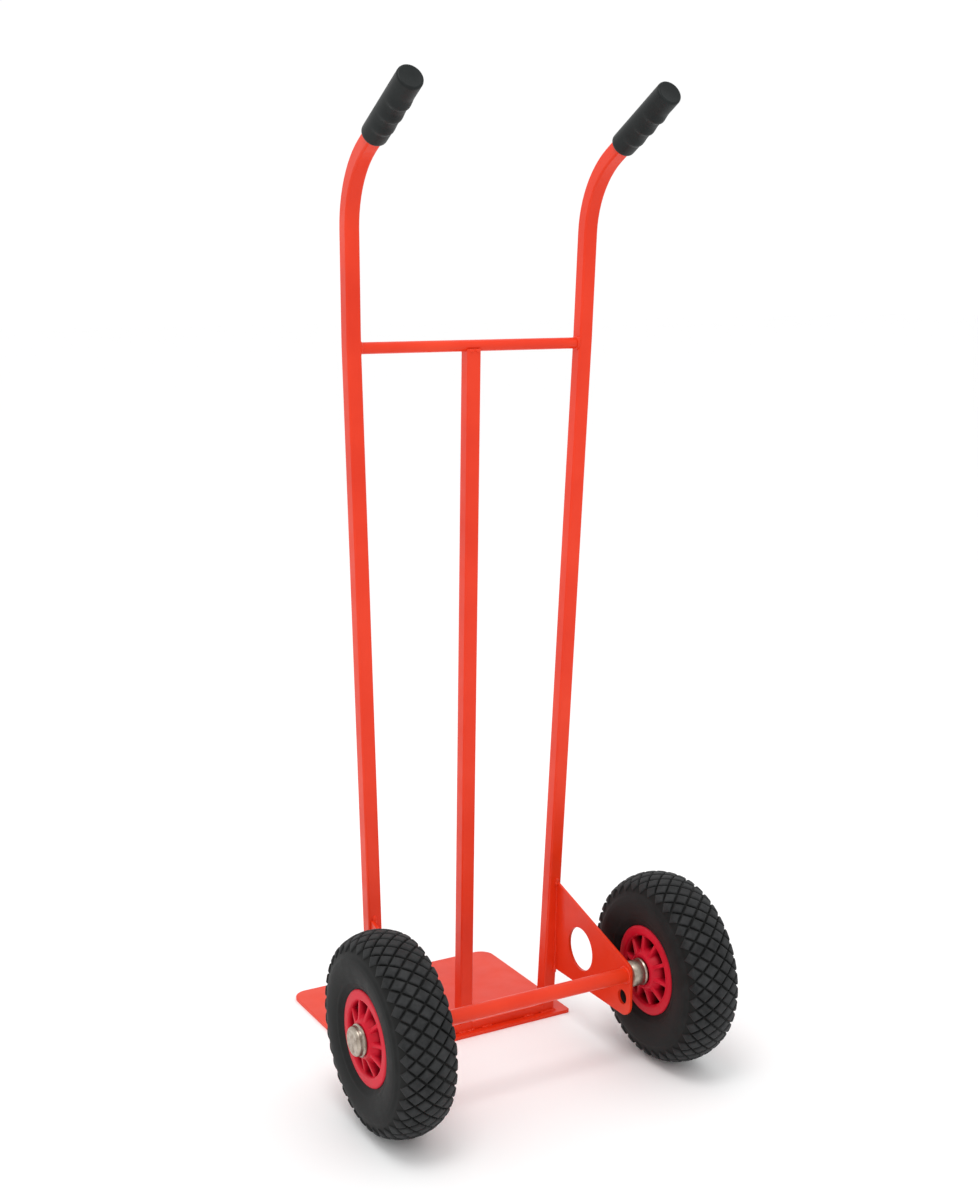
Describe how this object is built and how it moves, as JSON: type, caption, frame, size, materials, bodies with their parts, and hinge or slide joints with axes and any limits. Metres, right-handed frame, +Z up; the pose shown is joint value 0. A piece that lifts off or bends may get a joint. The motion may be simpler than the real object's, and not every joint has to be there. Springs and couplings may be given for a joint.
{
  "type": "hand truck",
  "caption": "Upright two-wheel hand truck with a welded orange tube frame, flat toe plate, rubber grips and air-filled tyres on red plastic rims.",
  "frame": {"origin": "on the floor, midway between the wheels and midway between the toe plate's front edge and the back of the tyres", "axes": "+Z up from the floor, -Y out over the toe plate, +Y towards the handles and wheels, +X along the axle to the left of a person who stands behind the truck"},
  "size_m": [0.5246, 0.5556, 1.2964],
  "materials": {
    "orange_paint": "gloss paint over welded steel",
    "weld_paint": "gloss paint over a weld bead",
    "grip_rubber": "matte moulded rubber",
    "tyre_rubber": "matte treaded rubber",
    "tube_rubber": "smooth rubber",
    "rim_plastic": "moulded plastic, semi-matte",
    "zinc": "zinc plated",
    "bearing_steel": "ground steel",
    "cage_plastic": "natural nylon"
  },
  "bodies": {
    "frame": {"left_rail": "orange_paint", "right_rail": "orange_paint", "centre_post": "orange_paint", "crossbar": "orange_paint", "toe_plate": "orange_paint", "left_foot_bar": "orange_paint", "right_foot_bar": "orange_paint", "left_gusset": "orange_paint", "right_gusset": "orange_paint", "axle": "orange_paint", "crossbar_welds": "weld_paint", "post_top_welds": "weld_paint", "foot_welds": "weld_paint", "foot_bar_welds": "weld_paint", "gusset_welds": "weld_paint", "axle_welds": "weld_paint", "left_grip": "grip_rubber", "left_inner_collar": "zinc", "left_outer_washer": "zinc", "left_push_cap": "zinc", "right_grip": "grip_rubber", "right_inner_collar": "zinc", "right_outer_washer": "zinc", "right_push_cap": "zinc"},
    "left_wheel": {"left_tyre": "tyre_rubber", "left_inner_tube": "tube_rubber", "left_valve_stem": "tube_rubber", "left_valve_cap": "tube_rubber", "left_rim": "rim_plastic", "left_bearing_sleeve": "bearing_steel"},
    "right_wheel": {"right_tyre": "tyre_rubber", "right_inner_tube": "tube_rubber", "right_valve_stem": "tube_rubber", "right_valve_cap": "tube_rubber", "right_rim": "rim_plastic", "right_bearing_sleeve": "bearing_steel"},
    "left_bearing": {"left_roller_cage": "cage_plastic", "left_rollers": "bearing_steel"},
    "right_bearing": {"right_roller_cage": "cage_plastic", "right_rollers": "bearing_steel"}
  },
  "joints": [
    {"name": "left_wheel_spin", "type": "hinge", "parent": "frame", "child": "left_wheel", "pos_m": [0.211, 0.1478, 0.13], "axis": [1, 0, 0], "continuous": true},
    {"name": "right_wheel_spin", "type": "hinge", "parent": "frame", "child": "right_wheel", "pos_m": [-0.211, 0.1478, 0.13], "axis": [1, 0, 0], "continuous": true},
    {"name": "left_bearing_spin", "type": "hinge", "parent": "frame", "child": "left_bearing", "pos_m": [0.211, 0.1478, 0.13], "axis": [1, 0, 0], "continuous": true},
    {"name": "right_bearing_spin", "type": "hinge", "parent": "frame", "child": "right_bearing", "pos_m": [-0.211, 0.1478, 0.13], "axis": [1, 0, 0], "continuous": true}
  ],
  "couplings": [
    {"joint": "left_bearing_spin", "follows": "left_wheel_spin", "ratio": 0.6},
    {"joint": "right_bearing_spin", "follows": "right_wheel_spin", "ratio": 0.6}
  ]
}
